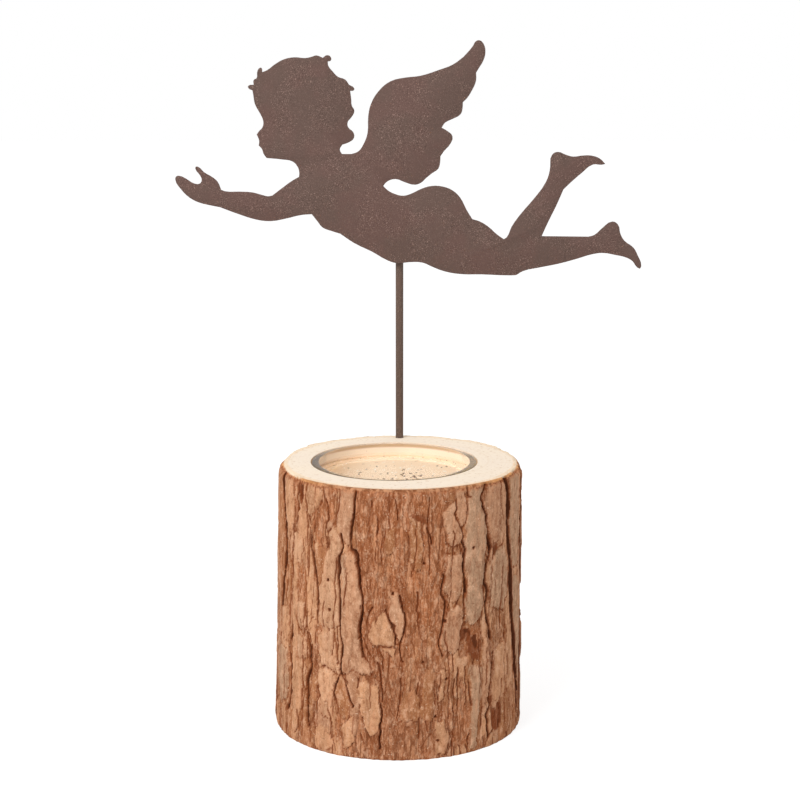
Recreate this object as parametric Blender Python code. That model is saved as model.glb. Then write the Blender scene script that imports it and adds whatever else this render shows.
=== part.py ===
"""Angel candle holder, in metres with +Z up.

A sawn length of log, with its bark on, holds a shallow glass dish for a candle. A flat cherub cut
from sheet steel flies above it, welded to a thin steel rod that stands in the log behind the dish.
The origin is the centre of the log's base, and the holder's front faces -Y.
"""

import math
import random

import bmesh
import bpy

MM = 0.001

# Glass dish
DISH_RADIUS = 31.2 * MM
DISH_RIM = 3.1 * MM
DISH_DEPTH = 3.2 * MM
DISH_FLOOR = 2.0 * MM
DISH_COVE = 3.0 * MM
DISH_EDGE_ROUND = 0.7 * MM
DISH_X = -1.4 * MM
DISH_Y = 0.8 * MM

# Sawn log
LOG_HEIGHT = 101.0 * MM
WOOD_RIM = 11.8 * MM
BARK_THICKNESS = 3.0 * MM
LOG_FLARE = 1.4 * MM
LOG_LEAN = 1.0 * MM

# Bark relief
FURROW_DEPTH = 1.4 * MM
FURROW_WIDTH = 1.1 * MM
FURROW_RUN_OUT = 9.0 * MM
SHALLOW_FURROW = 0.35
BREAK_DEPTH = 0.7 * MM
PLATE_LIFT = 0.35 * MM
PLATE_LENGTH = 34.0 * MM
BARE_DEPTH = 0.45 * MM
SAWN_EDGE = 0.5 * MM

# The outer bark is gone from the plates that start between these angles, in degrees from the front
BARE_FROM = -14
BARE_TO = 15

# Steel rod
ROD_DIAMETER = 3.0 * MM
ROD_X = 0.6 * MM
ROD_INSET = 1.5 * MM
ROD_IN_LOG = 30.0 * MM
ROD_FREE_LENGTH = 70.3 * MM
ROD_BEHIND_FIGURE = 18.0 * MM

# Steel cherub
FIGURE_LENGTH = 180.5 * MM
SHEET_THICKNESS = 1.2 * MM

# Fits and facets
SEAT_GAP = 0.3 * MM
MERGE_DISTANCE = 0.01 * MM
LOG_ROWS = 28
ROUND_STEPS = 64
ROD_STEPS = 24
ARC_STEPS = 4
OUTLINE_STEPS = 3

WOOD_RADIUS = DISH_RADIUS + WOOD_RIM
BARK_RADIUS = WOOD_RADIUS + BARK_THICKNESS
DISH_HEIGHT = DISH_DEPTH + DISH_FLOOR
ROD_Y = WOOD_RADIUS - ROD_INSET
FIGURE_Y = ROD_Y - ROD_DIAMETER / 2 - SEAT_GAP - SHEET_THICKNESS / 2
FIGURE_Z = LOG_HEIGHT + ROD_FREE_LENGTH

# Furrows in the bark, from the left side over the front to the back. Each has its depth in parts of
# FURROW_DEPTH, then its bends from the top down, in degrees from the front towards +X and hundredths
# of the log's height. The first sixteen are as seen, and the rest, on the back, are made up.
FURROWS = (
    (0.8, (-84, 52), (-86, 28), (-85, 8)),
    (0.8, (-76, 92), (-70, 76)),
    (0.9, (-62, 38), (-59, 26), (-59, 19), (-62, 12)),
    (0.6, (-55, 82), (-56, 70), (-52, 40)),
    (0.8, (-46, 82), (-41, 68), (-40, 50), (-44, 42), (-43, 30), (-46, 18)),
    (0.6, (-35, 90), (-36, 79), (-33, 60)),
    (1.0, (-27, 83), (-29, 76), (-28, 70), (-27, 61), (-26, 47), (-26, 36), (-25, 30)),
    (0.8, (-21, 100), (-22, 81), (-19, 76), (-17, 65), (-16, 55), (-17, 46)),
    (0.5, (-10, 90), (-8, 79), (-8, 57), (-11, 41), (-8, 34), (-9, 30), (-8, 13)),
    (0.5, (-1, 99), (-1, 90), (2, 59), (3, 53), (2, 48), (0, 44), (0, 28), (1, 14)),
    (0.5, (12, 90), (15, 83), (12, 60), (11, 40)),
    (0.5, (22, 80), (20, 62), (19, 55), (19, 47)),
    (0.8, (28, 94), (29, 82), (31, 68), (31, 49)),
    (1.0, (41, 98), (40, 93), (44, 78), (44, 74), (41, 67), (42, 59), (45, 50), (46, 13)),
    (1.1, (59, 99), (61, 82), (61, 67), (65, 47), (68, 24), (70, 5)),
    (0.9, (85, 96), (87, 70), (85, 52)),
    (0.9, (99, 100), (97, 62), (101, 30), (99, 0)),
    (0.7, (112, 100), (114, 70), (110, 38), (113, 0)),
    (1.0, (126, 94), (123, 60), (127, 24), (125, 0)),
    (0.8, (138, 100), (141, 72), (138, 40), (140, 8)),
    (1.0, (152, 100), (149, 66), (153, 30), (152, 0)),
    (0.7, (166, 92), (164, 58), (167, 28), (164, 0)),
    (0.9, (178, 100), (181, 76), (178, 44), (180, 10)),
    (1.0, (192, 100), (190, 60), (195, 34), (193, 0)),
    (0.7, (207, 96), (205, 70), (208, 32), (206, 0)),
    (1.0, (220, 100), (223, 64), (219, 36), (222, 6)),
    (0.8, (235, 100), (232, 72), (236, 40), (234, 0)),
    (0.9, (249, 90), (247, 56), (250, 26), (247, 0)),
    (0.8, (262, 100), (264, 70), (261, 30), (263, 0)),
)

# The cherub's outline, clockwise from the wing's tip, in stretches that meet at corners. Each point
# is right of and above the place where the rod passes behind the body's lower edge, in parts of the
# figure that are 1 mm long at its modelled size.
OUTLINE = {
    "wing_tip": [
        (28.0, 83.0), (29.0, 84.7), (30.5, 85.2), (32.0, 84.0), (32.8, 81.0), (32.0, 77.5),
        (30.4, 74.8), (29.3, 73.0),
    ],
    "long_feather": [(29.3, 70.0), (27.6, 66.0), (26.0, 63.5), (24.3, 61.8)],
    "second_feather": [(24.2, 59.5), (23.5, 57.3), (20.5, 55.5), (17.5, 54.0), (16.2, 52.1)],
    "third_feather": [(18.6, 50.7), (20.4, 48.8), (19.5, 45.8), (17.3, 43.3), (15.8, 41.2)],
    "short_feather": [(15.7, 39.0), (15.0, 36.4), (12.8, 34.8)],
    "wing_root": [
        (10.3, 32.8), (8.5, 31.1), (6.0, 30.2), (2.0, 31.2), (-1.5, 32.4), (-4.8, 31.4),
        (-6.3, 29.7),
    ],
    "back": [
        (-4.5, 28.0), (-1.8, 26.6), (1.5, 25.9), (4.5, 26.7), (8.5, 28.6), (12.5, 29.7),
        (17.0, 29.4), (20.5, 28.0), (23.5, 25.2), (26.0, 20.5), (28.3, 16.8),
    ],
    "thigh": [(31.0, 16.0), (34.5, 13.9), (38.0, 10.8), (40.6, 9.0)],
    "raised_calf": [
        (41.8, 9.9), (43.5, 13.8), (47.0, 18.8), (52.0, 24.7), (56.5, 31.0), (58.0, 35.5),
        (58.2, 40.2),
    ],
    "raised_foot": [
        (59.3, 42.2), (61.3, 42.8), (64.0, 41.8), (67.0, 41.0), (70.5, 41.4), (74.0, 41.4),
        (77.4, 40.2), (79.4, 38.2),
    ],
    "raised_sole": [(77.8, 37.9), (74.6, 38.0), (70.4, 34.8), (66.5, 31.4), (63.4, 28.4)],
    "raised_shin": [(60.8, 22.3), (57.5, 15.4), (55.2, 10.2)],
    "knee": [(73.5, 10.0)],
    "trailing_heel": [
        (75.8, 10.7), (78.8, 13.4), (82.6, 15.9), (84.8, 14.8), (85.8, 11.2), (87.5, 8.4),
        (91.0, 5.8), (92.7, 2.8), (94.2, -1.4), (93.7, -2.5),
    ],
    "trailing_sole": [
        (92.5, -1.9), (90.8, 0.4), (88.5, 1.8), (84.0, 2.9), (79.0, 3.7), (75.0, 3.2), (69.0, 1.4),
        (62.0, -0.5), (54.0, -2.1), (48.2, -3.4), (45.5, -5.0),
    ],
    "hip": [
        (43.0, -5.1), (32.0, -4.7), (24.0, -4.6), (17.5, -3.5), (12.5, -1.6), (9.0, -0.1),
        (4.0, 0.1), (-1.0, -0.3), (-4.7, 0.8), (-10.5, 4.1), (-17.5, 7.5), (-23.0, 11.2),
    ],
    "chest": [(-26.5, 12.3), (-29.8, 13.6), (-31.8, 16.0), (-34.0, 18.8)],
    "under_arm": [
        (-38.0, 18.5), (-44.0, 17.1), (-50.0, 16.1), (-55.5, 16.7), (-62.0, 18.7), (-69.5, 21.5),
    ],
    "palm": [
        (-73.5, 22.3), (-77.5, 23.3), (-81.2, 25.2), (-84.5, 28.5), (-86.6, 32.2), (-86.2, 33.4),
        (-85.0, 33.6), (-82.5, 32.5), (-79.5, 30.7), (-77.3, 30.6), (-76.4, 32.0), (-77.0, 33.8),
        (-78.7, 36.2), (-78.6, 37.1), (-77.6, 37.0), (-75.5, 35.0), (-72.3, 33.1), (-70.3, 31.3),
        (-69.0, 28.2),
    ],
    "fore_arm": [
        (-67.3, 27.6), (-62.0, 27.5), (-57.0, 27.2), (-53.5, 26.3), (-51.0, 25.7), (-49.2, 26.0),
    ],
    "shoulder": [(-45.0, 29.2), (-41.5, 31.7), (-38.8, 33.2)],
    "throat": [(-38.7, 35.2), (-39.4, 37.3), (-41.3, 39.2), (-45.0, 39.9), (-51.2, 40.5)],
    "chin": [(-52.4, 42.2), (-53.0, 44.0), (-54.2, 45.3)],
    "lips": [(-54.0, 47.2), (-54.9, 49.5)],
    "nose": [
        (-54.0, 50.8), (-52.7, 52.2), (-52.3, 54.5), (-53.5, 57.5), (-55.4, 61.0), (-56.0, 64.5),
        (-56.3, 66.3),
    ],
    "fringe": [(-57.8, 67.1), (-57.9, 68.0), (-55.8, 68.4)],
    "brow_lock": [
        (-55.8, 70.2), (-54.6, 71.0), (-54.4, 73.2), (-53.6, 74.7), (-52.8, 74.8), (-52.5, 73.2),
    ],
    "crown": [
        (-50.7, 73.9), (-47.4, 76.3), (-44.0, 78.1), (-40.0, 78.8), (-36.0, 78.5), (-33.5, 79.0),
        (-31.8, 79.5), (-29.3, 78.6),
    ],
    "top_lock": [(-27.6, 79.6), (-26.2, 78.8), (-26.2, 77.6), (-27.4, 77.2)],
    "nape_hair": [(-27.2, 75.6), (-25.5, 73.4), (-23.5, 71.4), (-20.8, 70.4), (-19.3, 68.4)],
    "nape_lock": [(-17.3, 67.0), (-17.5, 66.3), (-18.9, 66.1)],
    "curls": [
        (-18.5, 63.0), (-18.3, 60.5), (-17.3, 58.5), (-18.5, 56.0), (-19.9, 54.2), (-19.7, 52.2),
        (-17.8, 50.4), (-17.5, 48.2), (-19.3, 46.6), (-22.0, 45.6),
    ],
    "nape": [(-23.0, 43.7), (-22.2, 42.0)],
    "neck": [(-18.5, 42.0)],
    "wing_front": [
        (-15.9, 43.0), (-13.8, 45.9), (-12.3, 50.0), (-12.0, 56.5), (-11.0, 61.0), (-8.0, 66.0),
        (-3.5, 69.7), (2.0, 71.1), (8.0, 71.8), (15.0, 74.0), (20.5, 76.1), (24.5, 79.0),
    ],
}


def make_material(name, colour, roughness, metallic=0.0):
    material = bpy.data.materials.new(name)
    material.use_nodes = True
    shader = material.node_tree.nodes["Principled BSDF"]
    shader.inputs["Base Color"].default_value = (*colour, 1.0)
    shader.inputs["Roughness"].default_value = roughness
    shader.inputs["Metallic"].default_value = metallic
    return material


def add_object(name, mesh, *materials):
    for material in materials:
        mesh.materials.append(material)
    made = bpy.data.objects.new(name, mesh)
    bpy.context.scene.collection.objects.link(made)
    return made


def add_cutter(name, radius, depth, x, y):
    """A drill for a blind hole that goes down from the log's top."""
    bpy.ops.mesh.primitive_cylinder_add(
        vertices=ROUND_STEPS, radius=radius, depth=2 * depth, location=(x, y, LOG_HEIGHT)
    )
    cutter = bpy.context.object
    cutter.name = name
    cutter.hide_render = True
    cutter.display_type = "WIRE"
    return cutter


def cut(target, cutter):
    boolean = target.modifiers.new(cutter.name, "BOOLEAN")
    boolean.operation = "DIFFERENCE"
    boolean.object = cutter


def log_radius(z):
    return BARK_RADIUS + LOG_FLARE * (1 - z / LOG_HEIGHT)


class Furrow:
    """A furrow between two bark plates, deep between its end bends and shallow beyond them."""

    def __init__(self, depth, *bends):
        self.depth = FURROW_DEPTH * depth
        self.bends = [(LOG_HEIGHT * level / 100, math.radians(turn)) for turn, level in bends[::-1]]

    def angle_at(self, z):
        for (low, start), (high, end) in zip(self.bends, self.bends[1:]):
            if z < high:
                return start + (end - start) * max(0.0, (z - low) / (high - low))
        return self.bends[-1][1]

    def depth_at(self, z):
        past = max(0.0, self.bends[0][0] - z, z - self.bends[-1][0])
        return self.depth * max(SHALLOW_FURROW, 1 - past / FURROW_RUN_OUT)

    def starts_bare_plate(self):
        middle = math.degrees(self.angle_at(LOG_HEIGHT / 2))
        return BARE_FROM < middle < BARE_TO


class Plate:
    """A long plate of bark, cracked across here and there. Where it is bare, its outer bark is gone."""

    def __init__(self, bare, dice):
        count = 1 + round(LOG_HEIGHT / PLATE_LENGTH)
        level = -BARE_DEPTH if bare else 0.0
        self.breaks = sorted(dice.uniform(0, LOG_HEIGHT) for _ in range(count))
        self.lifts = [level + PLATE_LIFT * dice.uniform(-1, 1) for _ in range(count + 1)]

    def relief_at(self, z):
        lift = self.lifts[sum(z > crack for crack in self.breaks)]
        nearest = min(abs(z - crack) for crack in self.breaks)
        reach = LOG_HEIGHT / LOG_ROWS
        return lift - BREAK_DEPTH * max(0.0, 1 - nearest / reach)


def bark_ring(z, furrows, plates, inset):
    """One row of bark: for each plate its furrow, its two shoulders and its crown."""
    radius = log_radius(z) - inset
    ring = []
    for i, plate in enumerate(plates):
        start = furrows[i].angle_at(z)
        end = furrows[(i + 1) % len(furrows)].angle_at(z)
        width = (end - start) % math.tau
        shoulder = FURROW_WIDTH / BARK_RADIUS
        relief = plate.relief_at(z)
        ring.append((start, radius - furrows[i].depth_at(z)))
        ring.append((start + shoulder, radius + relief))
        ring.append((start + width / 2, radius + relief + PLATE_LIFT / 2))
        ring.append((start + width - shoulder, radius + relief))
    return ring


def place(z, angle, radius):
    """A point of the log, with the angle taken from the front towards +X."""
    x = LOG_LEAN * z / LOG_HEIGHT + radius * math.sin(angle)
    return (x, -radius * math.cos(angle), z)


def make_log():
    """The log is one solid: wood and bark, a recess for the dish and a blind hole for the rod."""
    dice = random.Random(11)
    furrows = [Furrow(*furrow) for furrow in FURROWS]
    plates = [Plate(furrow.starts_bare_plate(), dice) for furrow in furrows]
    rows = [(0.0, SAWN_EDGE), (SAWN_EDGE, 0.0)]
    rows += [(LOG_HEIGHT * i / LOG_ROWS, 0.0) for i in range(1, LOG_ROWS)]
    rows += [(LOG_HEIGHT - SAWN_EDGE, 0.0), (LOG_HEIGHT, SAWN_EDGE)]

    shape = bmesh.new()
    rings = []
    for z, inset in rows:
        ring = bark_ring(z, furrows, plates, inset)
        rings.append([shape.verts.new(place(z, angle, radius)) for angle, radius in ring])
    for z, outer in ((0.0, rings[0]), (LOG_HEIGHT, rings[-1])):
        angles_there = [angle for angle, _ in bark_ring(z, furrows, plates, 0.0)]
        wood = WOOD_RADIUS - FURROW_DEPTH / 2
        inner = [shape.verts.new(place(z, angle, wood)) for angle in angles_there]
        if z == 0.0:
            rings.insert(0, inner)
        else:
            rings.append(inner)
    for lower, upper in zip(rings, rings[1:]):
        for i in range(len(lower)):
            j = (i + 1) % len(lower)
            shape.faces.new((lower[i], lower[j], upper[j], upper[i]))
    base = shape.faces.new(list(reversed(rings[0])))
    top = shape.faces.new(rings[-1])
    for face in (base, top):
        face.material_index = 1
    mesh = bpy.data.meshes.new("log_base")
    shape.to_mesh(mesh)
    shape.free()

    bark = make_material("bark", (0.40, 0.19, 0.10), 0.9)
    sawn_wood = make_material("sawn_wood", (0.90, 0.76, 0.60), 0.75)
    log = add_object("log_base", mesh, bark, sawn_wood)
    recess = add_cutter(
        "dish_recess", DISH_RADIUS + SEAT_GAP, DISH_HEIGHT + SEAT_GAP, DISH_X, DISH_Y
    )
    rod_hole = add_cutter(
        "rod_hole", ROD_DIAMETER / 2 + SEAT_GAP, ROD_IN_LOG + SEAT_GAP, ROD_X, ROD_Y
    )
    cut(log, recess)
    cut(log, rod_hole)


def arc(x, z, radius, start, end):
    """Points along a circle's arc in the section plane, with angles in degrees."""
    found = []
    for i in range(ARC_STEPS + 1):
        angle = math.radians(start + (end - start) * i / ARC_STEPS)
        found.append((x + radius * math.cos(angle), z + radius * math.sin(angle)))
    return found


def make_dish():
    """Pressed glass: its thick rim lies flush with the log's top, its floor meets it in a cove."""
    top = LOG_HEIGHT
    bottom = top - DISH_HEIGHT
    floor = top - DISH_DEPTH
    inner = DISH_RADIUS - DISH_RIM
    edge = DISH_EDGE_ROUND
    section = [(0.0, floor)]
    section += arc(inner - DISH_COVE, floor + DISH_COVE, DISH_COVE, -90, 0)
    section += arc(inner + edge, top - edge, edge, 180, 90)
    section += arc(DISH_RADIUS - edge, top - edge, edge, 90, 0)
    section += arc(DISH_RADIUS - edge, bottom + edge, edge, 0, -90)
    section += [(0.0, bottom)]

    mesh = bpy.data.meshes.new("glass_dish")
    points = [(x, 0.0, z) for x, z in section]
    mesh.from_pydata(points, [(i, i + 1) for i in range(len(points) - 1)], [])
    dish = add_object("glass_dish", mesh, make_material("clear_glass", (0.86, 0.88, 0.86), 0.05))
    dish.location = (DISH_X, DISH_Y, 0.0)
    screw = dish.modifiers.new("turned", "SCREW")
    screw.steps = ROUND_STEPS
    screw.render_steps = ROUND_STEPS
    screw.use_merge_vertices = True
    screw.merge_threshold = MERGE_DISTANCE


def make_rod():
    """Plain round steel, from its hole in the log to the back of the cherub's chest."""
    foot = LOG_HEIGHT - ROD_IN_LOG
    top = FIGURE_Z + ROD_BEHIND_FIGURE
    bpy.ops.mesh.primitive_cylinder_add(
        vertices=ROD_STEPS,
        radius=ROD_DIAMETER / 2,
        depth=top - foot,
        location=(ROD_X, ROD_Y, (foot + top) / 2),
    )
    rod = bpy.context.object
    rod.name = "stem_rod"
    rod.data.materials.append(make_material("coated_rod", (0.18, 0.12, 0.10), 0.6, 0.3))


def make_figure():
    """One plate of sheet steel, cut along the outline with plain square edges."""
    points = [point for stretch in OUTLINE.values() for point in stretch]
    corners = {stretch[-1] for stretch in OUTLINE.values()}
    across = [x for x, _ in points]
    unit = FIGURE_LENGTH / (max(across) - min(across))

    curve = bpy.data.curves.new("angel_figure", "CURVE")
    curve.dimensions = "2D"
    curve.fill_mode = "BOTH"
    curve.extrude = SHEET_THICKNESS / 2
    curve.resolution_u = OUTLINE_STEPS
    spline = curve.splines.new("BEZIER")
    spline.use_cyclic_u = True
    spline.bezier_points.add(len(points) - 1)
    for knot, (x, z) in zip(spline.bezier_points, points):
        handle = "VECTOR" if (x, z) in corners else "AUTO"
        knot.co = (x * unit, z * unit, 0.0)
        knot.handle_left_type = handle
        knot.handle_right_type = handle
    steel = make_material("coated_steel", (0.17, 0.11, 0.09), 0.6, 0.3)
    figure = add_object("angel_figure", curve, steel)
    figure.location = (ROD_X, FIGURE_Y, FIGURE_Z)
    figure.rotation_euler = (math.pi / 2, 0.0, 0.0)


for leftover in list(bpy.data.objects):
    bpy.data.objects.remove(leftover)
make_log()
make_dish()
make_rod()
make_figure()
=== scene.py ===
import math

import bmesh
import bpy
import numpy as np
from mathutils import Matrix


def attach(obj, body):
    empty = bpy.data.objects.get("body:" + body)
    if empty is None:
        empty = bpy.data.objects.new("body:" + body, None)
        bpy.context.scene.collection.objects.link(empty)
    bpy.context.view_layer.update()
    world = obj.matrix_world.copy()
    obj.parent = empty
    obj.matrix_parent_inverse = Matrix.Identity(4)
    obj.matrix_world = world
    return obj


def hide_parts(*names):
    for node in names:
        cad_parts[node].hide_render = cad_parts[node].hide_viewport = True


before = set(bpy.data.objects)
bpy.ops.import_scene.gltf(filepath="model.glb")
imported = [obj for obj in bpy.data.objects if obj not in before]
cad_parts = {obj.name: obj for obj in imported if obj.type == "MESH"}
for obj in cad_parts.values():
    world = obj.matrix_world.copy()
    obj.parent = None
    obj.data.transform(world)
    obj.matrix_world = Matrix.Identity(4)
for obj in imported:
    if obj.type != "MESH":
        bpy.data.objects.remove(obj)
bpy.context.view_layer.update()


# The log's wood
# A short length of a thin softwood trunk, sawn square at both ends and left bare. A round recess is bored
# in its top for the glass dish, and a thin blind hole behind the recess takes the rod.

MM = 0.001
LOG_HEIGHT = 101 * MM
LOG_LEAN = 1 * MM
WOOD_RADIUS = 43 * MM
WOOD_STEPS = 240
WOOD_WANDER = 0.28 * MM
SAW_EDGE = 0.15 * MM
DISH_X = -1.4 * MM
DISH_Y = 0.8 * MM
DISH_RADIUS = 31.2 * MM
DISH_HEIGHT = 5.2 * MM
SEAT_GAP = 0.3 * MM
RECESS_STEPS = 128
HOLE_STEPS = 32
DRILL_OVER = 5 * MM
SMOOTH_ANGLE = math.radians(30)
ROD_X = 0.6 * MM
ROD_Y = 41.5 * MM
ROD_RADIUS = 1.5 * MM
ROD_IN_LOG = 30 * MM


def srgb(red, green, blue):
    """A screen colour, from 0 to 255, as the linear colour that a shader takes."""

    def linear(part):
        part /= 255
        return part / 12.92 if part <= 0.04045 else ((part + 0.055) / 1.055) ** 2.4

    return linear(red), linear(green), linear(blue), 1.0


class Wire:
    """A node's output. Sums and products of wires add their Math nodes."""

    def __init__(self, finish, socket):
        self.finish = finish
        self.socket = socket

    def math(self, operation, *values):
        return self.finish.node("Math", {"operation": operation}, dict(enumerate(values)))

    def __add__(self, other):
        return self.math("ADD", self, other)

    def __sub__(self, other):
        return self.math("SUBTRACT", self, other)

    def __rsub__(self, other):
        return self.math("SUBTRACT", other, self)

    def __mul__(self, other):
        return self.math("MULTIPLY", self, other)

    __radd__ = __add__
    __rmul__ = __mul__


class Finish:
    """A material that is built up node by node."""

    def __init__(self, name):
        self.material = bpy.data.materials.new(name)
        self.material.use_nodes = True
        self.tree = self.material.node_tree
        self.shader = self.tree.nodes["Principled BSDF"]

    def node(self, kind, settings=None, inputs=None, output=0):
        node = self.tree.nodes.new("ShaderNode" + kind)
        for name, value in (settings or {}).items():
            setattr(node, name, value)
        self.set(node, inputs or {})
        return Wire(self, node.outputs[output])

    def set(self, node, inputs):
        for name, value in inputs.items():
            if isinstance(value, Wire):
                self.tree.links.new(value.socket, node.inputs[name])
            else:
                node.inputs[name].default_value = value

    def place(self):
        """Where a point of the piece is, in millimetres."""
        at = self.node("TexCoord", output="Object")
        return self.node("VectorMath", {"operation": "SCALE"}, {0: at, "Scale": 1000})

    def noise(self, at, patch, detail=2, rough=0.5):
        """Cloudy noise from 0 to 1, in patches of that width, depth and height in millimetres."""
        near = self.node("VectorMath", {"operation": "DIVIDE"}, {0: at, 1: patch})
        inputs = {"Vector": near, "Scale": 1, "Detail": detail, "Roughness": rough}
        return self.node("TexNoise", inputs=inputs)

    def rise(self, value, low, high, start=0, end=1):
        """From start to end as the value goes from low to high, smoothly."""
        reach = {"Value": value, "From Min": low, "From Max": high, "To Min": start, "To Max": end}
        return self.node("MapRange", {"interpolation_type": "SMOOTHSTEP"}, reach)

    def blend(self, share, first, second, way="MIX"):
        """The first colour, with that share of the second."""
        return self.node("Mix", {"data_type": "RGBA", "blend_type": way}, {0: share, 6: first, 7: second}, 2)

    def away(self, at, x, y, z=None):
        """Distance from a point, or from an upright line where no height is given."""
        if z is None:
            at = self.node("VectorMath", {"operation": "MULTIPLY"}, {0: at, 1: (1, 1, 0)})
        return self.node("VectorMath", {"operation": "DISTANCE"}, {0: at, 1: (x, y, z or 0)}, "Value")

    def bump(self, height, depth):
        """A bump of that depth in millimetres."""
        return self.node("Bump", inputs={"Height": height, "Distance": depth * MM, "Strength": 1})


def start_editing(piece):
    bpy.ops.object.select_all(action="DESELECT")
    piece.select_set(True)
    bpy.context.view_layer.objects.active = piece
    bpy.ops.object.mode_set(mode="EDIT")
    bpy.ops.mesh.select_all(action="DESELECT")
    return bmesh.from_edit_mesh(piece.data)


def stop_editing(piece):
    bpy.ops.object.mode_set(mode="OBJECT")
    bpy.ops.object.transform_apply(location=True, rotation=True, scale=True)


def select(shape, kind, wanted):
    """Selects the faces, edges or vertices that the test wants, and nothing else."""
    bpy.ops.mesh.select_all(action="DESELECT")
    shape.select_mode = {kind}
    bpy.ops.mesh.select_mode(type=kind)
    parts = {"FACE": shape.faces, "EDGE": shape.edges, "VERT": shape.verts}[kind]
    for part in parts:
        part.select_set(wanted(part))
    shape.select_flush_mode()


def name_piece(piece, name, node, finish):
    piece.name = name
    piece.data.name = name
    piece.data.materials.clear()
    piece.data.materials.append(finish.material)
    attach(piece, "root")
    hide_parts(node)


def add_cylinder(steps, radius, low, high, x=0.0, y=0.0):
    bpy.ops.object.select_all(action="DESELECT")
    bpy.ops.mesh.primitive_cylinder_add(
        vertices=steps, radius=radius, depth=high - low, location=(x, y, (low + high) / 2)
    )
    bpy.ops.object.transform_apply(location=True, rotation=True, scale=True)
    return bpy.context.object


def bore(piece, steps, radius, low, x, y):
    """Bores a round hole from above the piece down to that height."""
    drill = add_cylinder(steps, radius, low, LOG_HEIGHT + DRILL_OVER, x, y)
    bpy.ops.object.select_all(action="DESELECT")
    bpy.context.view_layer.objects.active = piece
    piece.select_set(True)
    hole = piece.modifiers.new("hole", "BOOLEAN")
    hole.operation = "DIFFERENCE"
    hole.solver = "EXACT"
    hole.object = drill
    bpy.ops.object.modifier_apply(modifier=hole.name)
    bpy.data.objects.remove(drill)


def sawn_wood():
    """Bare sawn wood: cream, warmer by the bark, with faint rings, saw marks, crumbs and dust, and painted
    shade on the left of the recess floor.
    """
    finish = Finish("sawn_wood")
    at = finish.place()
    from_heart = finish.away(at, 5, 3)
    from_axis = finish.away(at, LOG_LEAN / MM, 0)
    level = finish.node("SeparateXYZ", inputs={0: at}, output="Z")
    top = LOG_HEIGHT / MM

    clouds = finish.noise(at, (14, 14, 14), detail=3)
    colour = finish.blend(clouds, srgb(254, 237, 214), srgb(249, 233, 216))
    rings = finish.noise(finish.node("CombineXYZ", inputs={0: from_heart}), (1.3, 1, 1), detail=1)
    colour = finish.blend(finish.rise(rings, 0.5, 0.75, 0, 0.35), colour, srgb(238, 214, 184))
    saw = finish.noise(at, (9, 0.35, 9), detail=1)
    colour = finish.blend(finish.rise(saw, 0.55, 0.8, 0, 0.3), colour, srgb(232, 208, 180))

    rim = finish.rise(from_axis + 1.6 * finish.noise(at, (3, 3, 3)), 42.6, 44.4)
    colour = finish.blend(rim * 0.8, colour, srgb(246, 196, 142))
    marks = finish.noise(at, (1.6, 1.6, 1.6), detail=2)
    colour = finish.blend(finish.rise(marks, 0.57, 0.75, 0, 0.55), colour, srgb(214, 182, 148))
    specks = finish.noise(at, (0.8, 0.8, 0.8), detail=1)

    under = finish.rise(level, top - 0.3, top - 0.8)
    wall = finish.rise(level, top - 1.4, top - 2.2)
    wall = finish.blend(wall, srgb(208, 176, 142), srgb(250, 232, 210))
    bottom = finish.rise(level, top - 4.6, top - 5.2)
    bed = finish.blend(finish.noise(at, (5, 5, 5), detail=2), srgb(251, 226, 195), srgb(242, 208, 172))
    # The recess floor darkens towards the left: painted shade of the recess wall, which the lamp on the left
    # casts over it.
    across = finish.node("SeparateXYZ", inputs={0: at}, output="X")
    bed = finish.blend(finish.rise(across, -8, -28), bed, srgb(214, 174, 134))
    crumbs = finish.noise(at, (1.2, 2.8, 1.2), detail=1)
    crumbs_here = finish.rise(finish.away(at, 3, -2), 14, 4, 0, 0.09)
    bed = finish.blend(finish.rise(crumbs + crumbs_here, 0.685, 0.74, 0, 0.9), bed, srgb(98, 56, 28))
    bed = finish.blend(finish.rise(crumbs, 0.33, 0.27, 0, 0.7), bed, srgb(255, 248, 238))
    colour = finish.blend(under, colour, finish.blend(bottom, wall, bed))
    back = finish.rise(finish.node("SeparateXYZ", inputs={0: at}, output="Y"), 5, 25)
    crusts = finish.rise(from_axis, 39, 43, 0, 0.09) * back
    colour = finish.blend(finish.rise(specks + crusts, 0.74, 0.8, 0, 0.6), colour, srgb(140, 104, 76))
    grain = finish.noise(at, (0.5, 0.5, 0.5), detail=2)
    finish.set(
        finish.shader,
        {
            "Base Color": colour,
            "Roughness": 0.85,
            "Specular IOR Level": 0.2,
            "Normal": finish.bump(grain, 0.06),
        },
    )
    return finish


wood = add_cylinder(WOOD_STEPS, WOOD_RADIUS, 0, LOG_HEIGHT)
shape = start_editing(wood)
for corner in shape.verts:
    turn = math.atan2(corner.co.x, -corner.co.y)
    wander = math.sin(9 * turn + 1) + 0.7 * math.sin(17 * turn + 2) + 0.5 * math.sin(31 * turn) - 1
    corner.co.xy *= 1 + WOOD_WANDER * wander / WOOD_RADIUS / 2
select(shape, "EDGE", lambda edge: abs(edge.verts[0].co.z - edge.verts[1].co.z) < MM)
bpy.ops.mesh.bevel(offset=SAW_EDGE, segments=1)
select(shape, "VERT", lambda corner: corner.co.z > LOG_HEIGHT / 2)
bpy.ops.transform.translate(value=(LOG_LEAN, 0, 0))
stop_editing(wood)
bore(wood, RECESS_STEPS, DISH_RADIUS + SEAT_GAP, LOG_HEIGHT - DISH_HEIGHT - SEAT_GAP, DISH_X, DISH_Y)
bore(wood, HOLE_STEPS, ROD_RADIUS + SEAT_GAP / 2, LOG_HEIGHT - ROD_IN_LOG, ROD_X, ROD_Y)
bpy.ops.object.shade_smooth_by_angle(angle=SMOOTH_ANGLE)
name_piece(wood, "log_wood", "log_base", sawn_wood())


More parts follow.
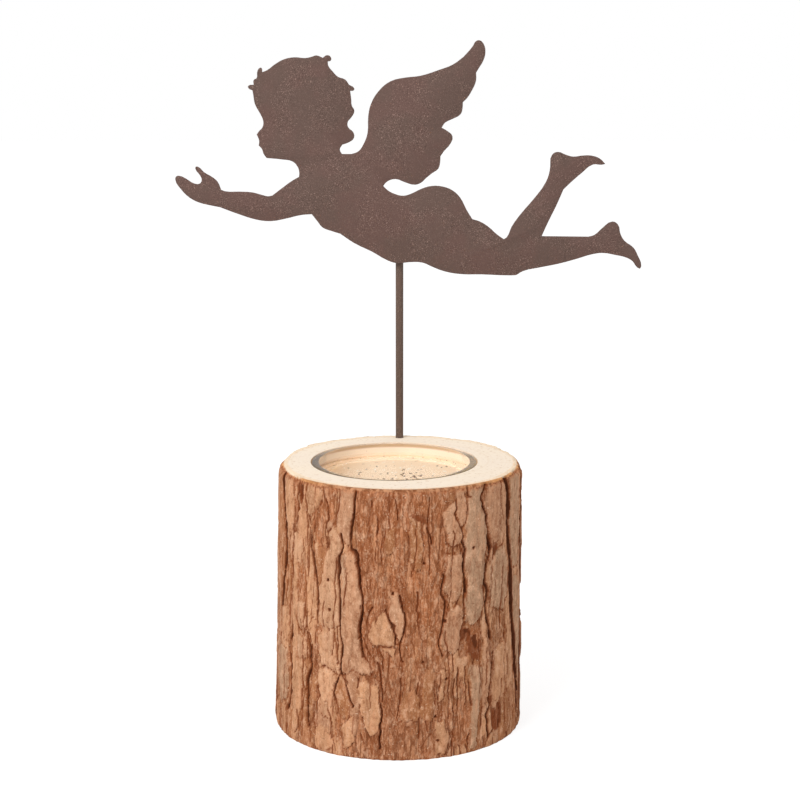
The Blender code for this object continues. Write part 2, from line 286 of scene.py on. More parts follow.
# The bark
# The trunk's own bark, which grew on the wood: thin reddish-brown flaky layers that carry long upright
# plates of tan and greyish outer bark, parted by dark furrows. It is sawn off flush with the wood. Painted
# shade darkens the plates' right and lower edges, the widest furrows and the dark and black patches.

BARK_RADIUS = 46.0
BARK_FLARE = 1.4
BARK_TALL = 101.0
BARK_INNER = 42.5
GIRTH = 2 * math.pi * BARK_RADIUS
COLUMNS = 560
ROWS = 172
FRONT_CROWDING = 0.42
FINE_CRACKS = 110
BARE_MIDDLE = 2
BARE_HALF = 21
BACK_START = 84
BACK_COLUMNS = 24
BACK_STEP = 8.2
BACK_STORIES = 5
STORY_HEIGHT = 22
DEEPEST = 2.4
HIGHEST = 0.3
EDGE_SINK = 0.05 * MM
NEARLY = 0.01 * MM
SAME_PLACE = 0.001 * MM
BARK_SMOOTH_ANGLE = math.radians(65)
TONES = {
    "pale": srgb(216, 164, 126),
    "tan": srgb(209, 154, 114),
    "pink": srgb(201, 149, 114),
    "grey": srgb(191, 150, 118),
    "brown": srgb(175, 115, 75),
    "red": srgb(181, 109, 66),
    # dark and black are painted shade, for worn hollows and for the log's two sides
    "dark": srgb(112, 56, 26),
    "shade_black": srgb(48, 28, 18),
}

# Worn patches, the dark and black ones painted shade: degrees to the right of the front, height, half width
# and half length in mm, tone
PATCHES = [
    (84, 48, 4.5, 54, "shade_black"),
    (-85, 30, 3.6, 28, "shade_black"),
    (-40, 85, 3.4, 8, "red"),
    (-33, 93, 2.2, 7, "red"),
    (-52, 62, 2.4, 7, "red"),
    (-52, 96, 1.4, 5, "dark"),
    (-24, 10, 3.8, 8, "red"),
    (16, 95, 6, 3, "red"),
    (8, 90, 3, 1.4, "dark"),
    (12, 68, 5, 14, "red"),
    (28, 77, 1.6, 2.4, "dark"),
    (48, 74, 2, 2.8, "dark"),
    (33, 45, 2.8, 5, "dark"),
    (37, 42, 3, 5.5, "dark"),
    (38, 47, 1.8, 2.6, "red"),
    (31, 41, 1.8, 3, "red"),
    (52, 46, 4.5, 9, "brown"),
    (53, 11, 4.5, 5, "dark"),
    (29, 13, 3, 12, "red"),
    (23, 28, 3, 9, "brown"),
]

# Plates: lift in mm, tone, then degrees to the right and height in mm at each corner
PLATES = [
    (0.2, "tan", (-69, 99), (-60, 100), (-57, 92), (-58, 84), (-60, 78), (-66, 76), (-68, 86)),
    (0.1, "brown", (-80, 98), (-74, 98), (-72, 88), (-70, 76), (-74, 66), (-80, 70)),
    (0.4, "pale", (-58, 80), (-51, 80), (-50, 74), (-52, 69), (-56, 70), (-58, 74)),
    (0.3, "tan", (-50, 100), (-41, 100), (-38, 97), (-40, 92), (-46, 90), (-49, 93)),
    (0.2, "brown", (-44, 78), (-36, 78), (-36, 64), (-40, 62), (-42, 68)),
    (0.2, "tan", (-49, 64), (-43, 66), (-41, 58), (-41, 50), (-45, 52), (-47, 56)),
    (0.4, "pale", (-55, 53), (-50, 54), (-47, 48), (-50, 44), (-54, 47)),
    (0.4, "pale", (-56, 42), (-50, 43), (-47, 40), (-47, 33), (-52, 32), (-55, 35)),
    (0.2, "tan", (-71, 50), (-63, 50), (-62, 42), (-65, 38), (-71, 40)),
    (0.4, "tan", (-58, 32), (-48, 33), (-48, 26), (-49, 18), (-53, 10), (-57, 12), (-59, 20)),
    (0.4, "grey", (-76, 36), (-64, 34), (-62, 24), (-63, 14), (-70, 11), (-75, 20)),
    (0.2, "brown", (-44, 28), (-41, 28), (-40, 18), (-42, 10), (-44, 12)),
    (0.3, "tan", (-40, 10), (-33, 12), (-31, 4), (-35, 0), (-41, 2)),
    (0.4, "pale", (-32, 86), (-28, 84), (-27, 80), (-29, 76), (-29, 66), (-28, 58), (-28, 50),
     (-31, 47), (-37, 48), (-39, 52), (-40, 62), (-39, 68), (-36, 74), (-34, 79)),
    (0.5, "pale", (-37, 46), (-32, 47), (-31, 42), (-29, 36), (-27, 32), (-29, 31), (-33, 32),
     (-38, 34), (-39, 39)),
    (0.4, "pale", (-39, 32), (-34, 31), (-30, 29), (-30, 24), (-31, 16), (-33, 14), (-37, 17),
     (-38, 22), (-40, 28)),
    (0.4, "pink", (-29, 101), (-22, 101), (-22, 92), (-23, 84), (-24, 79), (-26, 80), (-28, 85),
     (-30, 88)),
    (0.2, "grey", (-28, 76), (-25, 77), (-25, 66), (-27, 60), (-28, 66)),
    (0.6, "pink", (-26, 77), (-23, 78), (-21, 75), (-19, 71), (-18, 66), (-17, 62), (-17, 50),
     (-18, 42), (-19, 35), (-22, 31), (-25, 33), (-26, 42), (-27, 52), (-27, 62), (-26, 70)),
    (0.3, "brown", (-27, 29), (-24, 27), (-21, 20), (-22, 14), (-26, 16), (-28, 22)),
    (0.2, "tan", (-26, 13), (-20, 15), (-19, 6), (-24, 3)),
    (0.3, "pink", (-21, 44), (-17, 44), (-15, 36), (-12, 32), (-17, 31), (-21, 34)),
    (0.3, "tan", (-20, 28), (-15, 30), (-10, 29), (-9, 24), (-9, 12), (-12, 8), (-16, 13), (-18, 20)),
    (0.4, "pink", (-4, 65), (0, 65), (1, 60), (2, 56), (3, 52), (2, 48), (0, 44), (-2, 46), (-3, 51),
     (-4, 56)),
    (0.5, "tan", (-8, 57), (-5, 55), (-3, 51), (-2, 47), (-2, 43), (-7, 43), (-11, 44), (-12, 48),
     (-11, 52)),
    (0.3, "tan", (-7, 42), (-1, 42), (-2, 40), (-3, 38), (-5, 40)),
    (0.2, "brown", (4, 90), (9, 89), (10, 80), (8, 72), (4, 76)),
    (0.2, "brown", (-7, 88), (-3, 88), (-2, 80), (-5, 77), (-8, 81)),
    (0.1, "brown", (1, 27), (7, 28), (10, 22), (9, 14), (2, 14)),
    (0.1, "brown", (11, 34), (15, 34), (16, 20), (14, 15), (10, 16)),
    (0.2, "tan", (18, 34), (20, 34), (21, 24), (18, 22)),
    (0.4, "tan", (17, 14), (21, 14), (23, 6), (22, 1), (17, 2)),
    (0.3, "pink", (26, 101), (31, 101), (32, 93), (31, 88), (29, 86), (27, 88), (26, 93)),
    (0.4, "pink", (20, 93), (25, 95), (26, 89), (28, 86), (29, 82), (27, 80), (21, 80), (20, 86)),
    (0.4, "pink", (22, 77), (28, 75), (30, 71), (30, 64), (29, 60), (26, 59), (23, 61), (20, 64),
     (20, 70)),
    (0.4, "pink", (24, 56), (28, 57), (30, 55), (30, 45), (28, 42), (25, 40), (21, 42), (20, 46),
     (21, 51)),
    (0.5, "grey", (35, 101), (40, 101), (40, 92), (42, 86), (42, 78), (41, 70), (40, 64), (42, 58),
     (41, 51), (35, 49), (32, 51), (31, 58), (33, 64), (31, 70), (30, 78), (31, 86), (33, 93)),
    (0.4, "pink", (45, 99), (52, 100), (58, 97), (58, 84), (55, 76), (47, 78), (44, 84), (43, 92)),
    (0.3, "grey", (50, 73), (56, 75), (59, 68), (60, 58), (56, 50), (47, 54), (44, 60), (43, 68),
     (46, 71)),
    (0.3, "pale", (29, 38), (33, 38), (32, 35), (30, 35)),
    (0.5, "grey", (33, 34), (36, 35), (40, 32), (40, 22), (39, 12), (38, 1), (34, 1), (34, 12),
     (34, 24)),
    (0.4, "pink", (41, 41), (46, 43), (47, 34), (45, 24), (44, 12), (41, 12), (41, 28)),
    (0.4, "tan", (50, 37), (58, 40), (60, 30), (58, 19), (54, 17), (49, 18), (48, 27)),
    (0.2, "brown", (56, 14), (64, 22), (66, 10), (62, 2), (56, 3)),
    (0.1, "grey", (63, 100), (74, 100), (76, 80), (74, 64), (65, 64), (63, 80)),
    (0.1, "grey", (66, 60), (74, 60), (77, 40), (76, 20), (73, 20), (70, 36), (68, 46)),
]

# Furrows and long cracks: half width in mm, then degrees to the right and height at each bend. The widest
# ones carry painted shade past their edges.
FURROWS = [
    (0.8, (-83, 52), (-84, 28), (-84, 8)),
    (1.1, (-72, 101), (-71, 93), (-69, 84), (-67, 74), (-69, 64), (-70, 50)),
    (0.45, (-54, 100), (-54, 90), (-56, 83)),
    (0.45, (-59, 83), (-58, 78), (-59, 70), (-59, 62)),
    (0.5, (-52, 101), (-52, 94)),
    (0.45, (-48, 95), (-48, 90), (-47, 83)),
    (0.3, (-49, 81), (-49, 71)),
    (0.65, (-45, 82), (-45, 76), (-43, 70), (-41, 62), (-40, 55), (-40, 49)),
    (0.5, (-37, 98), (-35, 91), (-35, 87), (-36, 82), (-35, 77)),
    (0.35, (-29, 101), (-29, 92), (-30, 88)),
    (0.6, (-21, 101), (-21, 96), (-22, 89), (-23, 82), (-23, 78)),
    (0.6, (-23, 78), (-20, 76), (-19, 72), (-18, 66), (-17, 62), (-16, 56), (-17, 48), (-16, 38)),
    (0.65, (-27, 84), (-27, 79), (-29, 76), (-29, 67), (-28, 60), (-27, 48), (-26, 36), (-26, 31)),
    (0.3, (-38, 33), (-33, 32), (-29, 30)),
    (0.6, (-29, 22), (-29, 26), (-28, 30), (-26, 31), (-24, 28), (-22, 23), (-20, 18)),
    (0.3, (-31, 46), (-30, 42), (-29, 38), (-27, 35)),
    (0.8, (-60, 46), (-60, 40), (-62, 35), (-60, 30), (-60, 20), (-61, 13), (-63, 10)),
    (0.85, (-47, 44), (-45, 37), (-45, 31), (-47, 24), (-45, 18), (-45, 7)),
    (0.3, (-47, 22), (-49, 16), (-50, 11), (-52, 7)),
    (0.35, (-40, 26), (-38, 21)),
    (0.3, (-32, 18), (-31, 12), (-30, 1)),
    (0.3, (-29, 24), (-27, 19), (-28, 17)),
    (0.35, (-49, 54), (-48, 50), (-46, 46), (-44, 41)),
    (0.3, (-55, 50), (-54, 44)),
    (0.5, (-54, 13), (-53, 8), (-55, 3)),
    (0.4, (-67, 9), (-68, 3)),
    (0.35, (-43, 6), (-44, 1)),
    (0.45, (-10, 36), (-9, 31), (-8, 26), (-8, 20)),
    (0.6, (-8, 20), (-8, 12), (-8, 5)),
    (0.3, (-17, 9), (-15, 5)),
    (0.4, (-18, 30), (-18, 26)),
    (0.4, (-14, 51), (-13, 55), (-11, 58)),
    (0.4, (-15, 46), (-13, 40), (-10, 35)),
    (0.35, (-9, 43), (-8, 39), (-8, 34)),
    (0.35, (-14, 98), (-14, 95)),
    (0.4, (-10, 90), (-10, 83)),
    (0.3, (-8, 82), (-8, 80), (-7, 75)),
    (0.3, (-10, 81), (-10, 74)),
    (0.4, (-3, 99), (-1, 94), (-1, 90)),
    (0.5, (-6, 57), (-4, 53), (-2, 49), (-2, 43)),
    (0.5, (1, 64), (2, 58), (3, 52), (2, 48), (0, 43), (1, 37)),
    (0.25, (-7, 43), (0, 43)),
    (0.4, (0, 31), (1, 22), (1, 14)),
    (0.3, (8, 63), (8, 59), (9, 48)),
    (0.5, (13, 87), (14, 83), (14, 80)),
    (0.5, (20, 70), (19, 63), (22, 58), (21, 52)),
    (0.5, (21, 52), (19, 47), (19, 43), (20, 39)),
    (0.4, (23, 57), (26, 56), (28, 59)),
    (0.3, (20, 80), (26, 80)),
    (0.25, (20, 77), (25, 77)),
    (0.4, (26, 96), (26, 92), (26, 88), (28, 86)),
    (0.35, (32, 97), (31, 89), (30, 86)),
    (0.6, (29, 86), (29, 82), (28, 80), (30, 77), (30, 73)),
    (0.75, (30, 72), (31, 66), (32, 61)),
    (0.55, (31, 62), (31, 56), (31, 51)),
    (0.45, (33, 101), (34, 97), (35, 96)),
    (0.95, (44, 101), (41, 98), (41, 92), (43, 89), (42, 87), (43, 82), (45, 76)),
    (0.75, (45, 76), (42, 71), (41, 64), (43, 60), (43, 55), (45, 49), (47, 41)),
    (0.8, (48, 36), (46, 30), (46, 22), (47, 17), (45, 12), (46, 3)),
    (0.3, (49, 75), (54, 75)),
    (0.3, (52, 86), (53, 80)),
    (1.4, (58, 101), (60, 94), (60, 84), (60, 76), (62, 68), (63, 58), (65, 48), (68, 38), (69, 28),
     (71, 20), (73, 8)),
    (0.4, (27, 35), (27, 29), (27, 19)),
    (0.4, (33, 28), (33, 22), (34, 18)),
    (0.45, (33, 8), (33, 0)),
    (0.35, (9, 15), (9, 8)),
    (0.3, (12, 15), (13, 10)),
    (0.35, (41, 16), (41, 8)),
    (0.4, (55, 24), (54, 14), (54, 6)),
    (0.4, (61, 34), (62, 24)),
    (0.3, (8, 30), (8, 26)),
    (1.1, (78, 98), (77, 75), (79, 50), (79, 4)),
    (0.9, (85, 96), (87, 70), (85, 52)),
    (0.9, (99, 100), (97, 62), (101, 30), (99, 0)),
    (0.7, (112, 100), (114, 70), (110, 38), (113, 0)),
    (0.9, (126, 94), (123, 60), (127, 24), (125, 0)),
    (0.7, (138, 100), (141, 72), (138, 40), (140, 8)),
    (0.9, (152, 100), (149, 66), (153, 30), (152, 0)),
    (0.6, (166, 92), (164, 58), (167, 28), (164, 0)),
    (0.8, (178, 100), (181, 76), (178, 44), (180, 10)),
    (0.9, (192, 100), (190, 60), (195, 34), (193, 0)),
    (0.6, (207, 96), (205, 70), (208, 32), (206, 0)),
    (0.9, (220, 100), (223, 64), (219, 36), (222, 6)),
    (0.7, (235, 100), (232, 72), (236, 40), (234, 0)),
    (0.8, (249, 90), (247, 56), (250, 26), (247, 0)),
    (0.7, (262, 100), (264, 70), (261, 30), (263, 0)),
]
PINHOLES = [
    (35, 78), (11, 74), (21, 52), (11, 37), (22, 30),
    (17, 16), (18, 7), (-3, 63), (-34, 66), (-33, 55),
]


def arc(degrees):
    return math.radians(degrees) * BARK_RADIUS


def near_side(around):
    """The same place round the log, as a distance from -half to +half of the girth."""
    return (around + GIRTH / 2) % GIRTH - GIRTH / 2


def swing(around, height, across, along, seed, torn=False):
    """A smooth swing from -1 to 1 in patches of that size, closed round the log. Torn has sharp steps."""
    dice = np.random.default_rng(seed)
    count = round(GIRTH / across)
    grid = dice.uniform(-1, 1, (count, int(BARK_TALL / along) + 6))
    u = around / GIRTH * count
    v = height / along + 2
    left = np.floor(u).astype(int)
    low = np.floor(v).astype(int)
    share_u = u - left
    share_v = v - low
    if torn:
        share_v = np.clip((share_v - 0.35) / 0.3, 0, 1)
    share_u = share_u**2 * (3 - 2 * share_u)
    share_v = share_v**2 * (3 - 2 * share_v)
    right = (left + 1) % count
    left = left % count
    low = np.clip(low, 0, grid.shape[1] - 2)
    below = grid[left, low] * (1 - share_u) + grid[right, low] * share_u
    above = grid[left, low + 1] * (1 - share_u) + grid[right, low + 1] * share_u
    return below * (1 - share_v) + above * share_v


def flakes(around, height, wide, tall, seed):
    """A layer of flakes: how far each point is inside its flake's edge, and two chances for each flake."""
    dice = np.random.default_rng(seed)
    count = round(GIRTH / wide)
    rows = int(BARK_TALL / tall) + 8
    seats = dice.uniform(0, 1, (count, rows, 2))
    chances = dice.uniform(0, 1, (count, rows, 2))
    here = np.stack([around / GIRTH * count, height / tall + 3], axis=-1)
    nearest = np.full(around.shape, 9.0)
    second = np.full(around.shape, 9.0)
    seat = np.zeros(here.shape)
    next_seat = np.zeros(here.shape)
    own = np.zeros(here.shape)
    for i in (-1, 0, 1):
        for j in (-1, 0, 1):
            column = np.floor(here[..., 0]).astype(int) + i
            row = np.clip(np.floor(here[..., 1]).astype(int) + j, 0, rows - 1)
            tried = seats[column % count, row] + np.stack([column, row], axis=-1)
            gap = np.hypot(*np.moveaxis(here - tried, -1, 0))
            closer = gap < nearest
            next_best = (gap < second) & ~closer
            next_seat = np.where(closer[..., None], seat, np.where(next_best[..., None], tried, next_seat))
            second = np.where(closer, nearest, np.where(next_best, gap, second))
            seat = np.where(closer[..., None], tried, seat)
            own = np.where(closer[..., None], chances[column % count, row], own)
            nearest = np.where(closer, gap, nearest)
    across = np.moveaxis(next_seat - seat, -1, 0)
    edge = (second**2 - nearest**2) / 2 / np.hypot(across[0] / wide, across[1] / tall)
    return edge, own[..., 0], own[..., 1]


def fade(value, low, high):
    share = np.clip((value - low) / (high - low), 0, 1)
    return share**2 * (3 - 2 * share)


class Bark:
    """The bark as it is laid down: its height over the log's round, its colour, how dark its cracks are with
    painted shade in them, and where the outer plates still lie on the inner layers."""

    def __init__(self, around, height):
        self.around = around
        self.height = height
        wander = 1.1 * swing(around, height, 9, 16, 1) + 0.5 * swing(around, height, 3, 6, 2)
        torn = 0.32 * swing(around, height, 5, 2.6, 3, torn=True)
        torn = torn + 0.14 * swing(around, height, 2, 1.2, 4, torn=True)
        self.calm_around = around + 0.5 * wander
        self.rough_around = around + wander + torn
        self.rough_height = height + 1.5 * swing(around, height, 4, 9, 5)
        self.rough_height = self.rough_height + 0.5 * swing(around, height, 1.5, 5, 6)
        self.chips = flakes(self.rough_around, self.rough_height, 1.5, 4.5, 13)[1]
        self.relief = np.zeros_like(around)
        self.colour = np.zeros(around.shape + (3,))
        self.cut = np.zeros_like(around)
        self.crack_and_shade = np.zeros_like(around)
        self.outer = np.zeros_like(around)

    def cover(self, over, relief, colour, outer):
        """Lays something over what is there, where over is 1."""
        self.relief = self.relief + (relief - self.relief) * over
        self.colour = self.colour + (colour - self.colour) * over[..., None]
        self.outer = self.outer + (outer - self.outer) * over
        self.cut = self.cut * (1 - over)
        self.crack_and_shade = self.crack_and_shade * (1 - over)

    def open_crack(self, share, depth, darkness):
        """A crack of that depth in mm and that darkness, where the share is 1; the darkness carries painted
        shade as well. Cracks that cross don't add up.
        """
        self.cut = np.maximum(self.cut, share * depth)
        self.crack_and_shade = np.maximum(self.crack_and_shade, share * darkness)

    def lay_inner_layers(self):
        """Reddish-brown inner layers, in long thin flakes."""
        edge, chance, other = flakes(self.calm_around, self.rough_height, 3.8, 26, 7)
        fine, small, tint = flakes(self.calm_around, self.rough_height, 1.8, 13, 8)
        self.relief = -0.75 + 0.4 * (chance - 0.5) + 0.2 * (small - 0.5)
        deep = np.array(srgb(150, 83, 46)[:3])
        red = np.array(srgb(176, 104, 62)[:3])
        light = np.array(srgb(208, 142, 98)[:3])
        share = np.clip(0.55 * other + 0.45 * tint, 0, 1)[..., None]
        self.colour = deep + (red - deep) * fade(share, 0.1, 0.5) + (light - red) * fade(share, 0.6, 0.95)
        self.colour = self.colour * (1 - 0.2 * fade(-self.height, -60, -20))[..., None]
        self.open_crack(fade(-edge, -0.4, -0.1) * (chance > 0.55), 0.3, 0.4)
        self.open_crack(fade(-fine, -0.3, -0.05) * (small > 0.65), 0.1, 0.25)

    def lay_strips(self):
        """Long strips of outer bark on all but the front's middle, where they have flaked away."""
        edge, chance, tint = flakes(self.rough_around, self.rough_height, 4.8, 40, 9)
        bare = np.abs(near_side(self.around - arc(BARE_MIDDLE))) - arc(BARE_HALF)
        bare = bare + 3 * swing(self.around, self.height, 8, 20, 10)
        over = fade(bare + 2 * (self.chips - 0.5), -0.3, 0.3) * (chance + 0.35 * self.chips > 0.3)
        tan = np.array(TONES["tan"][:3])
        brown = np.array(TONES["brown"][:3])
        pink = np.array(TONES["pink"][:3])
        share = tint[..., None]
        colour = tan + (brown - tan) * (share < 0.3) + (pink - tan) * (share > 0.75)
        self.cover(over, -0.3 + 0.35 * (tint - 0.5), colour, over)
        line = fade(-edge, -0.42, -0.15) * over
        strong = 0.45 + 0.55 * (swing(self.around, self.height, 6, 12, 14) > -0.2)
        self.open_crack(line * strong, 0.5, 0.75)

    def wear(self, degrees, level, half_width, half_length, tone):
        """A worn patch with ragged edges, where deeper bark shows. The dark and black ones are painted
        shade.
        """
        up = (self.rough_height - level) / half_length
        side = near_side(self.rough_around - arc(degrees)) / half_width
        out = (np.hypot(side, up) - 1) * half_width + 2.2 * (self.chips - 0.5)
        over = fade(-out, -0.2, 0.3)
        self.cover(over, -0.75, np.array(TONES[tone][:3]), 0.0)
        # The dark and black patches set painted shade into the crack darkness.
        self.open_crack(over * (0.45 + 0.55 * self.chips), 0, {"dark": 0.8, "shade_black": 0.95}.get(tone, 0))

    def lay_plate(self, seed, lift, tone, *corners):
        """One plate of outer bark with ragged edges and a crack round most of it, darkest on its right and
        lower sides as painted shadow.
        """
        ends = np.array([(arc(degrees), level) for degrees, level in corners])
        u = near_side(self.rough_around - ends[:, 0].mean())
        v = self.rough_height - ends[:, 1].mean()
        ends -= ends.mean(axis=0)
        nearest = np.full(u.shape, 99.0)
        inside = np.zeros(u.shape, dtype=bool)
        for (u0, v0), (u1, v1) in zip(ends, np.roll(ends, -1, axis=0)):
            run = np.array([u1 - u0, v1 - v0])
            share = np.clip(((u - u0) * run[0] + (v - v0) * run[1]) / (run @ run), 0, 1)
            nearest = np.minimum(nearest, np.hypot(u - u0 - share * run[0], v - v0 - share * run[1]))
            if v0 != v1:
                inside ^= ((v0 > v) != (v1 > v)) & (u < u0 + (v - v0) * run[0] / run[1])
        out = np.where(inside, -nearest, nearest) + 1.0 * (self.chips - 0.5)
        dice = np.random.default_rng(seed)
        shade = np.array(TONES[tone][:3]) * dice.uniform(0.96, 1.04)
        self.cover(fade(-out, -0.15, 0.2), lift - 0.35 - 0.25 * fade(out, -2.5, 0), shade, 1.0)
        ring = fade(out, -0.12, 0.08) * (1 - fade(out, 0.15, 0.5))
        # The crack round the plate is darker on its right and lower sides: painted shadow that the plate
        # casts in light from the upper left, varied at random.
        shadow_side = 0.6 + 0.3 * np.clip(u / 4, -1, 1) - 0.15 * np.clip(v / 8, -1, 1)
        shadow_side = np.clip(shadow_side + 0.45 * swing(self.around, self.height, 3, 6, seed + 500), 0, 1)
        self.open_crack(ring * shadow_side, 0.4, 0.75)

    def cut_furrow(self, half_width, *bends):
        """A furrow or crack through those bends, which wavers in width and is darker where it is wide. The
        darkness is partly painted shade, which on the widest furrows reaches out past the cut.
        """
        nearest = np.full(self.around.shape, 99.0)
        points = [(arc(degrees), level) for degrees, level in bends]
        for (u0, v0), (u1, v1) in zip(points, points[1:]):
            run = np.array([u1 - u0, v1 - v0])
            du = near_side(self.rough_around - u0)
            dv = self.rough_height - v0
            share = np.clip((du * run[0] + dv * run[1]) / (run @ run), 0, 1)
            nearest = np.minimum(nearest, np.hypot(du - share * run[0], dv - share * run[1]))
        # Past about 0.9 mm of half width, the painted shade spreads beyond the furrow's edge, over the
        # shaded far walls of the widest furrows.
        reach = max(0, 2 * half_width - 1.8)
        waver = swing(self.around, self.height, 9, 4, round(points[0][1] * 7 + 900))
        width = half_width * (0.9 + 0.5 * waver)
        self.open_crack(1 - fade(nearest, 0.15 * width, width), 1.5 * half_width, 0)
        shade = 1 - fade(nearest, 0.3 * width + reach, 0.12 + width + reach)
        self.open_crack(shade, 0, min(0.95, 0.45 + 0.7 * half_width))

    def finish_surface(self):
        """Small flakes and fine upright fibres over everything, and the pinholes that beetles left."""
        edge, chance, tint = flakes(self.calm_around, self.rough_height, 2.4, 11, 11)
        fibre = swing(self.around, self.height, 0.8, 8, 12)
        self.relief = self.relief + 0.16 * (chance - 0.5) + 0.06 * fibre
        self.open_crack(fade(-edge, -0.3, -0.08) * (chance > 0.7), 0.1, 0.3)
        self.colour = self.colour * (1 + 0.2 * (tint - 0.5) + 0.08 * fibre)[..., None]
        for degrees, level in PINHOLES:
            gap = np.hypot(near_side(self.around - arc(degrees)), self.height - level)
            self.open_crack(1 - fade(gap, 0.3, 0.8), 0.6, 1.3)


def bark_finish():
    """Dry dull bark: each flake's own colour, crinkled edges, upright streaks, dark cracks with painted
    shade, a sawn top.
    """
    finish = Finish("bark")
    at = finish.place()
    own = finish.node("Attribute", {"attribute_name": "bark_colour"}, output="Color")
    crack_and_shade = finish.node("Attribute", {"attribute_name": "crack_and_shade"}, output="Fac")
    outer = finish.node("Attribute", {"attribute_name": "outer"}, output="Fac")
    level = finish.node("SeparateXYZ", inputs={0: at}, output="Z")

    push = finish.node("TexNoise", inputs={"Vector": at, "Scale": 0.45, "Detail": 3}, output="Color")
    push = finish.node("VectorMath", {"operation": "SUBTRACT"}, {0: push, 1: (0.5, 0.5, 0.5)})
    push = finish.node("VectorMath", {"operation": "MULTIPLY"}, {0: push, 1: (1.2, 1.2, 4)})
    crinkled = finish.node("VectorMath", {"operation": "ADD"}, {0: at, 1: push})

    def crinkles(wide, tall, shown):
        """The edges of small flakes, as a dark line with a pale lip beside it, and a tint for each flake."""
        near = finish.node("VectorMath", {"operation": "DIVIDE"}, {0: crinkled, 1: (wide, wide, tall)})
        inputs = {"Vector": near, "Scale": 1}
        edge = finish.node("TexVoronoi", {"feature": "DISTANCE_TO_EDGE"}, inputs, "Distance")
        flake = finish.node("TexVoronoi", {}, inputs, "Color")
        flake = finish.node("SeparateColor", inputs={0: flake})
        line = finish.rise(edge, 0.16, 0.04) * shown
        lip = finish.rise(edge, 0.08, 0.18) * finish.rise(edge, 0.36, 0.2) * shown
        return line, lip, flake

    some = finish.rise(finish.noise(at, (3, 3, 9), detail=2), 0.42, 0.58)
    bare = 1 - outer * 0.85
    line, lip, flake = crinkles(2.2, 14, some * bare)
    small_line, small_lip, small_flake = crinkles(1.2, 5, (1 - some * 0.5) * bare)
    bands = finish.noise(crinkled, (2.4, 2.4, 9), detail=3, rough=0.6)
    streaks = finish.noise(crinkled, (1.2, 1.2, 5), detail=3, rough=0.6)
    mottle = finish.noise(at, (2.0, 2.0, 3.4), detail=4, rough=0.65)
    dashes = finish.noise(at, (2.2, 2.2, 0.55), detail=1)
    grain = finish.noise(at, (0.5, 0.5, 0.7), detail=2, rough=0.6)
    sparks = finish.noise(at, (0.7, 0.7, 0.7), detail=0)

    colour = finish.blend(finish.rise(flake, 0, 1, 0, 0.3) * bare, own, srgb(158, 95, 58))
    colour = finish.blend(finish.rise(bands, 0.5, 0.68, 0, 0.45), colour, srgb(226, 162, 122))
    colour = finish.blend(finish.rise(bands, 0.48, 0.32, 0, 0.4), colour, srgb(146, 84, 50))
    colour = finish.blend(finish.rise(streaks, 0.5, 0.66, 0, 0.36) * bare, colour, srgb(140, 80, 48))
    colour = finish.blend(finish.rise(streaks, 0.46, 0.32, 0, 0.35) * bare, colour, srgb(236, 180, 142))
    colour = finish.blend(finish.rise(mottle, 0.51, 0.66, 0, 0.55), colour, srgb(236, 186, 150))
    colour = finish.blend(finish.rise(mottle, 0.48, 0.33, 0, 0.55), colour, srgb(146, 86, 52))
    colour = finish.blend(finish.rise(dashes, 0.68, 0.78, 0, 0.5), colour, srgb(110, 62, 36))
    colour = finish.blend(finish.rise(grain, 0.56, 0.72, 0, 0.4), colour, srgb(244, 196, 158))
    colour = finish.blend(finish.rise(grain, 0.44, 0.28, 0, 0.4), colour, srgb(126, 74, 44))
    colour = finish.blend(lip * 0.25 + small_lip * 0.2, colour, srgb(240, 180, 140))
    colour = finish.blend(line * 0.4 + small_line * 0.25, colour, srgb(112, 62, 34))
    colour = finish.blend(finish.rise(sparks, 0.76, 0.86, 0, 0.6), colour, srgb(250, 212, 180))
    sawn = finish.rise(level, BARK_TALL - 1.1, BARK_TALL - 0.3)
    depth = finish.node("SeparateXYZ", inputs={0: at}, output="Y")
    cut_face = finish.blend(finish.rise(mottle, 0.4, 0.6), srgb(144, 88, 54), srgb(208, 150, 110))
    cut_face = finish.blend(finish.rise(depth, -12, 12, 0, 0.75), cut_face, srgb(240, 212, 180))
    from_axis = finish.away(at, LOG_LEAN / MM, 0)
    aside = finish.node("SeparateXYZ", inputs={0: at}, output="X")
    aside = aside.math("ABSOLUTE", aside)
    reach = finish.rise(depth, -42, -14, 44.2, 45.8)
    reach = reach - finish.rise(aside, 36, 44, 0, 1.3) * finish.rise(depth, 24, 8)
    warm = finish.rise(reach - from_axis, -1.4, -0.4) * finish.rise(aside, 18, 42, 0, 0.8)
    cut_face = finish.blend(warm, cut_face, srgb(238, 172, 110))
    inside = finish.rise(reach - from_axis - 1.2 * mottle, -0.4, 0.5)
    inside = inside * finish.rise(depth, -44.5, -43.5, 0.4, 1)
    cut_face = finish.blend(inside * 0.9, cut_face, srgb(255, 236, 208))
    crumbs = finish.noise(at, (0.9, 0.9, 0.9), detail=2)
    crust = finish.rise(from_axis, 44.0, 45.0) * finish.rise(depth, 0, 20)
    crust = finish.rise(crumbs + 0.06 * crust, 0.6, 0.68) * crust
    cut_face = finish.blend(crust * 0.6, cut_face, srgb(150, 112, 84))
    edging = finish.rise(level + 3.5 * mottle, BARK_TALL - 0.6, BARK_TALL + 1)
    edging = edging * finish.rise(aside, 8, 42, 0.55, 0.95)
    crumbly = finish.blend(finish.rise(crumbs, 0.4, 0.6), srgb(138, 76, 44), srgb(204, 136, 94))
    colour = finish.blend(edging, colour, crumbly)
    colour = finish.blend(sawn * 0.95, colour, cut_face)
    crack_and_shade = crack_and_shade * (1 - sawn * 0.85)
